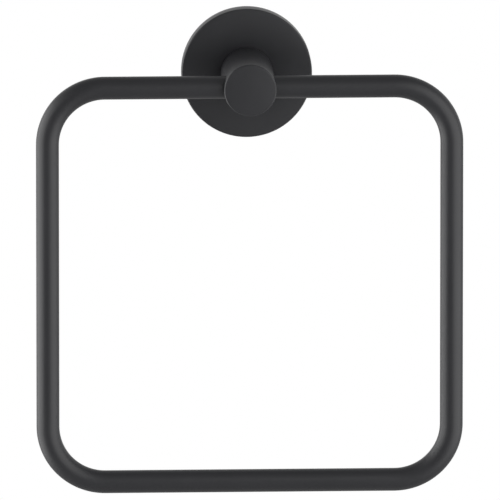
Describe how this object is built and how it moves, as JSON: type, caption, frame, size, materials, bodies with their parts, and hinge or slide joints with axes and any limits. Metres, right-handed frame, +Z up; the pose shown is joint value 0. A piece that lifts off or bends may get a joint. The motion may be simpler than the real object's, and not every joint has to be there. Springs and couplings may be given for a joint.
{
  "type": "towel ring",
  "caption": "Matte black wall-mounted towel ring: a rounded-square ring of round bar that swings in a cylindrical post on a round wall flange with concealed fixing.",
  "frame": {"origin": "on the wall plane, on the post's axis, midway between the two wall-screw holes", "axes": "+X to the right for someone who faces the wall, +Y into the wall, +Z up; the ring hangs straight down"},
  "size_m": [0.177, 0.0444, 0.1984],
  "materials": {
    "matte_black_coat": "matte black powder coat on steel",
    "zinc_plate": "bright zinc plate on steel",
    "black_oxide_steel": "black oxide"
  },
  "bodies": {
    "wall_post": {"wall_flange": "matte_black_coat", "post": "matte_black_coat", "mounting_bracket": "zinc_plate", "set_screw": "black_oxide_steel"},
    "swing_ring": {"ring": "matte_black_coat"}
  },
  "joints": [
    {"name": "ring_swing", "type": "hinge", "parent": "wall_post", "child": "swing_ring", "pos_m": [0, -0.03667, 0], "axis": [-1, 0, 0], "range_deg": [-10.9, 190.9]}
  ]
}
